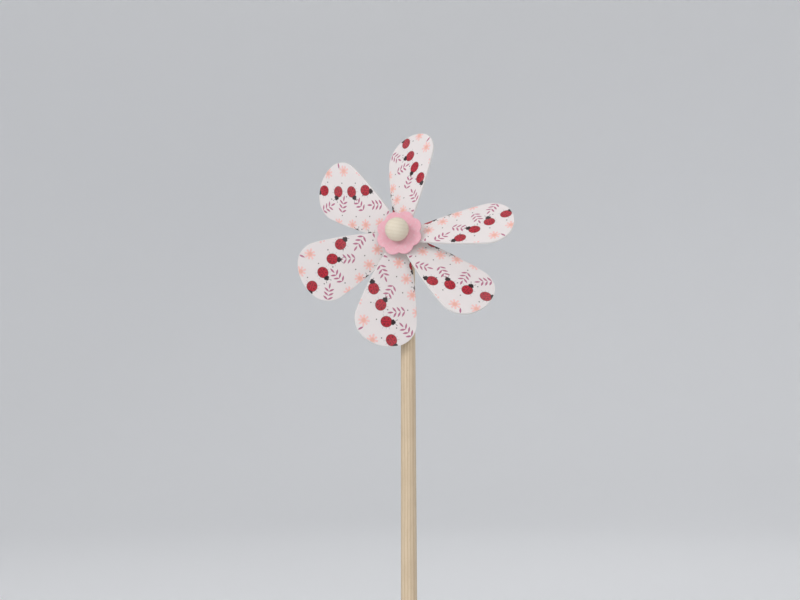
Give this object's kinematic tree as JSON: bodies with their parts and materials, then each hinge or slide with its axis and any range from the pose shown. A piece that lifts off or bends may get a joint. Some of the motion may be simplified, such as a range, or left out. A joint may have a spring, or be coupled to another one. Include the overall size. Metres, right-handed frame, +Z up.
{
  "type": "whirligig",
  "caption": "Wind spinner with flat pitched printed blades in a wooden hub, a scalloped flower disc and a round wooden cap, turning on a nail through a dowel stick.",
  "frame": {"origin": "centre of the flat foot of the stick", "axes": "+Z up along the stick, -Y the way the wheel's printed face looks, along the axle"},
  "size_m": [0.1502, 0.0471, 0.4646],
  "materials": {
    "dowel_wood": "bare, sanded",
    "hub_wood": "bare, turned",
    "bead_wood": "bare, turned",
    "ball_wood": "bare, turned",
    "nail_steel": "zinc plated",
    "washer_steel": "zinc plated",
    "blade_sheet": "white sheet, printed on the front",
    "flower_felt": "pink felt"
  },
  "bodies": {
    "stand": {"stick": "dowel_wood", "axle_nail": "nail_steel", "spacer_bead": "bead_wood", "rear_washer": "washer_steel", "front_washer": "washer_steel", "ball_cap": "ball_wood"},
    "wheel": {"hub": "hub_wood", "flower_disc": "flower_felt", "blade_1": "blade_sheet", "blade_2": "blade_sheet", "blade_3": "blade_sheet", "blade_4": "blade_sheet", "blade_5": "blade_sheet", "blade_6": "blade_sheet"}
  },
  "joints": [
    {"name": "wheel_spin", "type": "hinge", "parent": "stand", "child": "wheel", "pos_m": [0, 0, 0.388], "axis": [0, -1, 0], "continuous": true}
  ]
}
